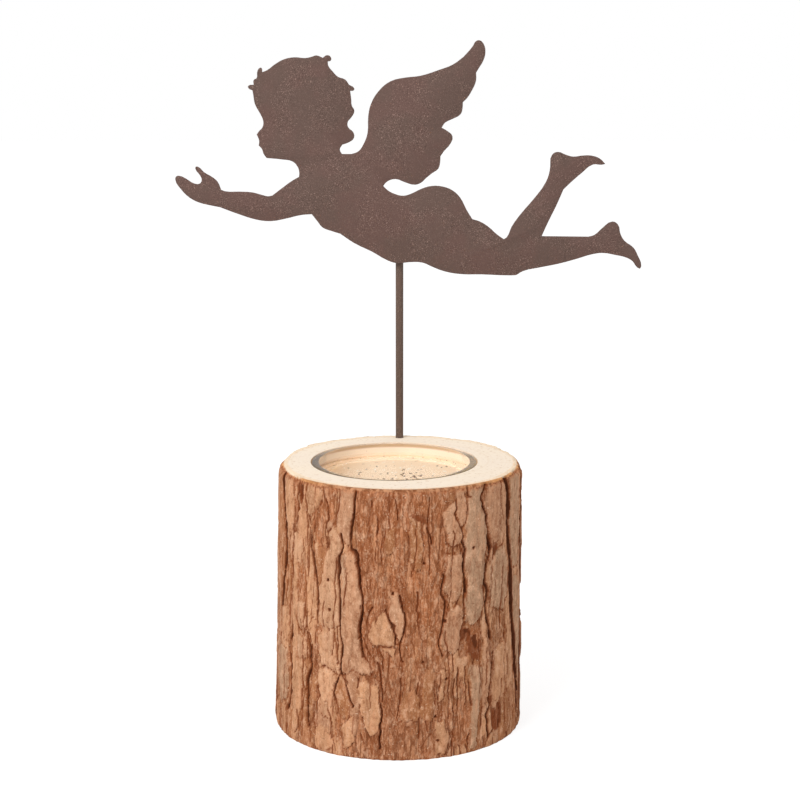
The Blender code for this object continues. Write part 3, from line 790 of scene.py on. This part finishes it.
    # Crack darkness: the cracks' own dark colour, with painted shade in them.
    colour = finish.blend(finish.rise(crack_and_shade, 0.04, 0.6, 0, 0.8), colour, srgb(138, 68, 30))
    colour = finish.blend(finish.rise(crack_and_shade, 0.45, 0.95, 0, 0.88), colour, srgb(72, 30, 8))
    steps = flake * 0.5 + small_flake * 0.3 - line * 0.7 - small_line * 0.4
    rough = finish.bump((streaks + steps) * bare + mottle * 0.8 + grain * 0.5, 0.2)
    finish.set(
        finish.shader,
        {"Base Color": colour, "Roughness": 0.9, "Specular IOR Level": 0.15, "Normal": rough},
    )
    return finish


bpy.ops.object.select_all(action="DESELECT")
bpy.ops.mesh.primitive_grid_add(x_subdivisions=COLUMNS, y_subdivisions=ROWS, size=2)
bark = bpy.context.object
flat = np.empty(len(bark.data.vertices) * 3)
bark.data.vertices.foreach_get("co", flat)
flat = flat.reshape(-1, 3)
turn = math.pi * flat[:, 0]
angle = turn - FRONT_CROWDING * np.sin(turn)
height = BARK_TALL * (flat[:, 1] + 1) / 2
laid = Bark(angle * BARK_RADIUS, height)
laid.lay_inner_layers()
laid.lay_strips()
dice = np.random.default_rng(42)
back_tones = ["pale", "tan", "tan", "pink", "grey", "brown", "red"]
for step in range(BACK_COLUMNS):
    for story in range(BACK_STORIES):
        degrees = BACK_START + step * BACK_STEP + dice.uniform(-2, 2)
        level = STORY_HEIGHT * story + dice.uniform(-3, 14)
        tone = back_tones[dice.integers(len(back_tones))]
        wide = dice.uniform(3, 5.5)
        tall = dice.uniform(6, 15)
        if dice.uniform() < 0.2:
            laid.wear(degrees, level, wide * 0.8, tall, "red")
        elif dice.uniform() < 0.75:
            corners = [(-1, -0.6), (-0.2, -1), (0.8, -0.8), (1, 0.4), (0.4, 1), (-0.7, 0.8)]
            corners = [(x + dice.uniform(-0.3, 0.3), z + dice.uniform(-0.2, 0.2)) for x, z in corners]
            corners = [(degrees + wide * x, level + tall * z) for x, z in corners]
            laid.lay_plate(100 + 10 * step + story, dice.uniform(0.1, 0.5), tone, *corners)
for patch in PATCHES:
    laid.wear(*patch)
for number, plate in enumerate(PLATES):
    laid.lay_plate(400 + number, *plate)
for furrow in FURROWS:
    laid.cut_furrow(*furrow)
for number in range(FINE_CRACKS):
    start = dice.uniform(32, 332) if number % 4 else dice.uniform(-80, 80)
    foot = dice.uniform(-5, 92)
    reach = dice.uniform(8, 38)
    half_width = dice.uniform(0.2, 0.36)
    tip = (start + dice.uniform(-1.5, 1.5), foot + reach)
    laid.cut_furrow(half_width, (start, foot), tip)
laid.finish_surface()
end = fade(height, BARK_TALL - 1.2, BARK_TALL) + fade(-height, -0.8, 0)
near_end = fade(height, BARK_TALL - 2, BARK_TALL) + fade(-height, -3, 0)
laid.relief = laid.relief - laid.cut * (1 - 0.7 * near_end)
laid.relief = laid.relief - (laid.relief + 0.5) * 0.75 * fade(-height, -2.5, 0)
laid.relief = laid.relief - end * (0.25 + 0.2 * swing(laid.around, height, 1.5, 50, 21))
aside = fade(np.abs(np.sin(angle)), 0.75, 0.98)
chipped = (0.4 + 1.5 * aside) * (1 + 0.4 * swing(laid.around, height, 2.5, 50, 22))
laid.relief = laid.relief - chipped * fade(height, BARK_TALL - 2.8, BARK_TALL + 0.6)
radius = BARK_RADIUS + BARK_FLARE * (1 - height / BARK_TALL) + np.clip(laid.relief, -DEEPEST, HIGHEST)
lean = LOG_LEAN / MM * height / BARK_TALL
places = np.stack([lean + radius * np.sin(angle), -radius * np.cos(angle), height], axis=1) * MM
bark.data.vertices.foreach_set("co", places.ravel())
tint = bark.data.color_attributes.new("bark_colour", "FLOAT_COLOR", "POINT")
opaque = np.ones((len(places), 1))
tint.data.foreach_set("color", np.hstack([np.clip(laid.colour, 0, 1), opaque]).ravel())
cracks = bark.data.attributes.new("crack_and_shade", "FLOAT", "POINT")
cracks.data.foreach_set("value", np.clip(laid.crack_and_shade, 0, 1))
plates = bark.data.attributes.new("outer", "FLOAT", "POINT")
plates.data.foreach_set("value", laid.outer)


def open_at(edge, level):
    """Whether an open edge lies at that height."""
    return edge.is_boundary and all(abs(v.co.z - level) < NEARLY for v in edge.verts)


shape = start_editing(bark)
bpy.ops.mesh.select_all(action="SELECT")
bpy.ops.mesh.remove_doubles(threshold=SAME_PLACE)
for level in (LOG_HEIGHT, 0):
    select(shape, "EDGE", lambda edge: open_at(edge, level))
    bpy.ops.mesh.extrude_region_move()
    for corner in shape.verts:
        if corner.select:
            middle = LOG_LEAN * level / LOG_HEIGHT
            reach = math.hypot(corner.co.x - middle, corner.co.y)
            corner.co.x = middle + (corner.co.x - middle) * BARK_INNER * MM / reach
            corner.co.y *= BARK_INNER * MM / reach
            corner.co.z = level + (EDGE_SINK if level == 0 else -EDGE_SINK)
    bmesh.update_edit_mesh(bark.data)
select(shape, "EDGE", lambda edge: edge.is_boundary)
bpy.ops.mesh.bridge_edge_loops()
bpy.ops.mesh.select_all(action="SELECT")
bpy.ops.mesh.normals_make_consistent(inside=False)
stop_editing(bark)
bpy.ops.object.shade_smooth_by_angle(angle=BARK_SMOOTH_ANGLE)
name_piece(bark, "log_bark", "log_base", bark_finish())


# The glass dish
# A shallow round dish of clear pressed glass with a thick flat rim. It drops into the recess, flush with
# the wood, and a candle can stand on its floor.

DISH_STEPS = 160
DISH_RIM = 3.1 * MM
DISH_DEPTH = 3.2 * MM
DISH_COVE = 2.4 * MM
DISH_EDGE = 0.6 * MM

dish = add_cylinder(DISH_STEPS, DISH_RADIUS, LOG_HEIGHT - DISH_HEIGHT, LOG_HEIGHT, DISH_X, DISH_Y)
shape = start_editing(dish)
select(shape, "FACE", lambda face: face.normal.z > 0.9)
bpy.ops.mesh.inset(thickness=DISH_RIM)
bpy.ops.mesh.extrude_region_move(TRANSFORM_OT_translate={"value": (0, 0, -DISH_DEPTH)})
bpy.ops.mesh.normals_make_consistent(inside=False)


def dish_ring(low, high, inside):
    """Tests for the round edges of the dish between two heights, on its inner or its outer side."""

    def wanted(edge):
        ends = [v.co for v in edge.verts]
        reach = [math.hypot(co.x - DISH_X, co.y - DISH_Y) for co in ends]
        inner = reach[0] < DISH_RADIUS - DISH_RIM / 2
        round_edge = abs(reach[0] - reach[1]) < NEARLY
        return all(low < co.z < high for co in ends) and inner == inside and round_edge

    return wanted


floor_level = LOG_HEIGHT - DISH_DEPTH
select(shape, "EDGE", dish_ring(floor_level - MM, floor_level + MM, True))
bpy.ops.mesh.bevel(offset=DISH_COVE, segments=10)
select(shape, "EDGE", dish_ring(LOG_HEIGHT - 0.1 * MM, LOG_HEIGHT + MM, True))
bpy.ops.mesh.bevel(offset=DISH_EDGE, segments=5)
select(shape, "EDGE", dish_ring(LOG_HEIGHT - 0.1 * MM, LOG_HEIGHT + MM, False))
bpy.ops.mesh.bevel(offset=DISH_EDGE, segments=5)
select(shape, "EDGE", dish_ring(0, LOG_HEIGHT - DISH_HEIGHT + 0.1 * MM, False))
bpy.ops.mesh.bevel(offset=DISH_EDGE, segments=5)
stop_editing(dish)
bpy.ops.object.shade_smooth_by_angle(angle=SMOOTH_ANGLE)


def clear_glass():
    """Clear pressed glass with slightly wavy faces, and painted shade near the top of its thick rim, widest
    at the left and right and fainter at the back. Light from the lamps passes straight through it."""
    finish = Finish("clear_glass")
    at = finish.place()
    waves = finish.noise(at, (6, 6, 6), detail=1)
    from_axis = finish.away(at, DISH_X / MM, DISH_Y / MM)
    level = finish.node("SeparateXYZ", inputs={0: at}, output="Z")
    side = finish.node("SeparateXYZ", inputs={0: at}, output="X")
    side = side.math("ABSOLUTE", side - DISH_X / MM)
    # The rim's dark colour is painted shade seen through the thick rim: a band near the top that widens
    # towards the left and right and fades towards the back.
    inner = finish.rise(side, 17, 29, 30.2, 28.4)
    depth = finish.node("SeparateXYZ", inputs={0: at}, output="Y")
    dark = finish.rise(from_axis - inner, -0.2, 0.3) * finish.rise(depth, 8, 26, 1, 0.4)
    dark = dark * finish.rise(level, LOG_HEIGHT / MM - 0.9, LOG_HEIGHT / MM - 0.4)
    finish.set(
        finish.shader,
        {
            "Base Color": finish.blend(dark, srgb(252, 252, 250), srgb(58, 46, 16)),
            "Roughness": 0.02,
            "IOR": 1.2,
            "Specular Tint": srgb(255, 224, 176),
            "Transmission Weight": 1.0,
            "Normal": finish.bump(waves, 0.08),
        },
    )
    shadow = finish.node("LightPath", output="Is Shadow Ray")
    clear = finish.node("BsdfTransparent", inputs={"Color": (1, 1, 1, 1)})
    glass = Wire(finish, finish.shader.outputs[0])
    floor = finish.rise(from_axis, 24.5, 25.5, 0.96, 0.6) + finish.rise(from_axis, 27.4, 27.9, 0, 0.25)
    through = shadow.math("MAXIMUM", shadow, floor * finish.rise(dark, 0, 1, 1, 0.08))
    both = finish.node("MixShader", inputs={0: through, 1: glass, 2: clear})
    finish.set(finish.tree.nodes["Material Output"], {"Surface": both})
    return finish


name_piece(dish, "glass_dish_clear", "glass_dish", clear_glass())


# The rod
# A straight round steel rod, 3 mm thick, that stands in the blind hole in the log and rises behind the
# cherub. It has the cherub's rust-brown textured coat.

ROD_TOP = 189.3 * MM
ROD_STEPS = 48
ROD_CHAMFER = 0.3 * MM


def textured_coat(name, ground, patch, speck):
    """A rust-brown coat with a fine sandy grain, in slightly redder and greyer patches."""
    finish = Finish(name)
    at = finish.place()
    clouds = finish.noise(at, (16, 16, 16), detail=3, rough=0.6)
    grain = finish.noise(at, (0.4, 0.4, 0.4), detail=2, rough=0.7)
    coarse = finish.noise(at, (7, 7, 7), detail=3)
    colour = finish.blend(finish.rise(clouds, 0.4, 0.64, 0, 0.6), ground, patch)
    sandy = finish.rise(coarse, 0.38, 0.6, 0.3, 1)
    colour = finish.blend(finish.rise(grain, 0.56, 0.7) * sandy * 0.55, colour, speck)
    colour = finish.blend(finish.rise(grain, 0.46, 0.32) * sandy * 0.65, colour, srgb(62, 46, 40))
    finish.set(
        finish.shader,
        {
            "Base Color": colour,
            "Roughness": 0.8,
            "Specular IOR Level": 0.25,
            "Normal": finish.bump(grain, 0.08),
        },
    )
    return finish


rod = add_cylinder(ROD_STEPS, ROD_RADIUS, LOG_HEIGHT - ROD_IN_LOG, ROD_TOP, ROD_X, ROD_Y)
shape = start_editing(rod)
select(shape, "EDGE", lambda edge: abs(edge.verts[0].co.z - edge.verts[1].co.z) < MM)
bpy.ops.mesh.bevel(offset=ROD_CHAMFER, segments=3)
stop_editing(rod)
bpy.ops.object.shade_smooth_by_angle(angle=SMOOTH_ANGLE)
rod_coat = textured_coat("coated_rod", srgb(104, 86, 76), srgb(110, 88, 77), srgb(168, 148, 132))
name_piece(rod, "steel_rod", "stem_rod", rod_coat)


# The cherub
# A flying cherub cut from one flat sheet of steel, with lightly rounded edges, in a rust-brown textured
# coat. It is welded to the front of the rod.

SHEET_EDGE = 0.15 * MM
FLAT_ANGLE = math.radians(0.5)
SHARP_ANGLE = math.radians(60)


def sheet_rim(edge):
    """Whether a sharp edge runs round one of the sheet's two flat faces."""
    beside_flat = any(abs(face.normal.y) > 0.9 for face in edge.link_faces)
    return len(edge.link_faces) == 2 and edge.calc_face_angle(0) > SHARP_ANGLE and beside_flat


bpy.ops.object.select_all(action="DESELECT")
cherub = bpy.data.objects.new("cherub_sheet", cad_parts["angel_figure"].data.copy())
bpy.context.scene.collection.objects.link(cherub)
shape = start_editing(cherub)
bpy.ops.mesh.select_all(action="SELECT")
bpy.ops.mesh.remove_doubles(threshold=SAME_PLACE)
bpy.ops.mesh.dissolve_limited(angle_limit=FLAT_ANGLE)
bpy.ops.mesh.normals_make_consistent(inside=False)
select(shape, "EDGE", sheet_rim)
bpy.ops.mesh.bevel(offset=SHEET_EDGE, segments=2, clamp_overlap=True)
stop_editing(cherub)
bpy.ops.object.shade_smooth_by_angle(angle=SMOOTH_ANGLE)
cherub_coat = textured_coat("coated_sheet", srgb(104, 83, 75), srgb(111, 83, 76), srgb(196, 162, 148))
name_piece(cherub, "cherub_sheet", "angel_figure", cherub_coat)


# The floor, the light and the camera
# A plain white floor that keeps a faint shadow, soft white light from all round with a large lamp to the
# front left, and the camera a little above the log.

FLOOR_HALF = 3.0
CAMERA_PLACE = (0.8 * MM, -741.7 * MM, 275.6 * MM)
CAMERA_TILT = 78.492
CAMERA_LENS = 90.92
CAMERA_SENSOR = 36
CAMERA_NEAR = 0.01
SKY_LIGHT = 0.62
LAMP_PLACE = (-0.6, -0.8, 1.25)
LAMP_AIM = (0, 0, 0.1)
LAMP_SIZE = 0.6
LAMP_POWER = 12.5

bpy.ops.object.select_all(action="DESELECT")
bpy.ops.mesh.primitive_plane_add(size=2 * FLOOR_HALF)
floor = bpy.context.object
floor.name = "floor"
paper = Finish("white_floor")
paths = paper.node("LightPath", output="Is Camera Ray")
for ray in ("Is Glossy Ray", "Is Transmission Ray"):
    paths = paths.math("MAXIMUM", paths, paper.node("LightPath", output=ray))
lit = paper.node("BsdfDiffuse", inputs={"Color": (0.8, 0.8, 0.8, 1)})
faint = paper.node("BsdfDiffuse", inputs={"Color": (0.36, 0.36, 0.36, 1)})
glow = paper.node("Emission", inputs={"Color": (1, 1, 1, 1), "Strength": 0.8})
seen = paper.node("AddShader", inputs={0: faint, 1: glow})
surface = paper.node("MixShader", inputs={0: paths, 1: lit, 2: seen})
paper.set(paper.tree.nodes["Material Output"], {"Surface": surface})
floor.data.materials.append(paper.material)

world = bpy.data.worlds.new("studio")
bpy.context.scene.world = world
world.use_nodes = True
sky = world.node_tree
paths = sky.nodes.new("ShaderNodeLightPath")
either = sky.nodes.new("ShaderNodeMath")
either.operation = "MAXIMUM"
both = sky.nodes.new("ShaderNodeMath")
both.operation = "MAXIMUM"
strength = sky.nodes.new("ShaderNodeMapRange")
strength.inputs["To Min"].default_value = SKY_LIGHT
strength.inputs["To Max"].default_value = 1.0
sky.links.new(paths.outputs["Is Camera Ray"], either.inputs[0])
sky.links.new(paths.outputs["Is Glossy Ray"], either.inputs[1])
sky.links.new(either.outputs[0], both.inputs[0])
sky.links.new(paths.outputs["Is Transmission Ray"], both.inputs[1])
sky.links.new(both.outputs[0], strength.inputs["Value"])
sky.nodes["Background"].inputs["Color"].default_value = (1, 1, 1, 1)
sky.links.new(strength.outputs[0], sky.nodes["Background"].inputs["Strength"])


def add_lamp(name, place, aim, size, power):
    """A square soft lamp at a place, facing a point."""
    lamp = bpy.data.lights.new(name, "AREA")
    lamp.size = size
    lamp.energy = power
    holder = bpy.data.objects.new(name, lamp)
    bpy.context.scene.collection.objects.link(holder)
    holder.location = place
    way = np.array(aim) - np.array(place)
    holder.rotation_euler = (
        math.atan2(math.hypot(way[0], way[1]), -way[2]),
        0,
        math.atan2(way[1], way[0]) - math.pi / 2,
    )


add_lamp("key", LAMP_PLACE, LAMP_AIM, LAMP_SIZE, LAMP_POWER)

camera = bpy.data.objects.new("camera", bpy.data.cameras.new("camera"))
bpy.context.scene.collection.objects.link(camera)
camera.location = CAMERA_PLACE
camera.rotation_euler = (math.radians(CAMERA_TILT), 0, 0)
camera.data.lens = CAMERA_LENS
camera.data.sensor_width = CAMERA_SENSOR
camera.data.clip_start = CAMERA_NEAR
bpy.context.scene.camera = camera
bpy.context.scene.view_settings.view_transform = "Standard"
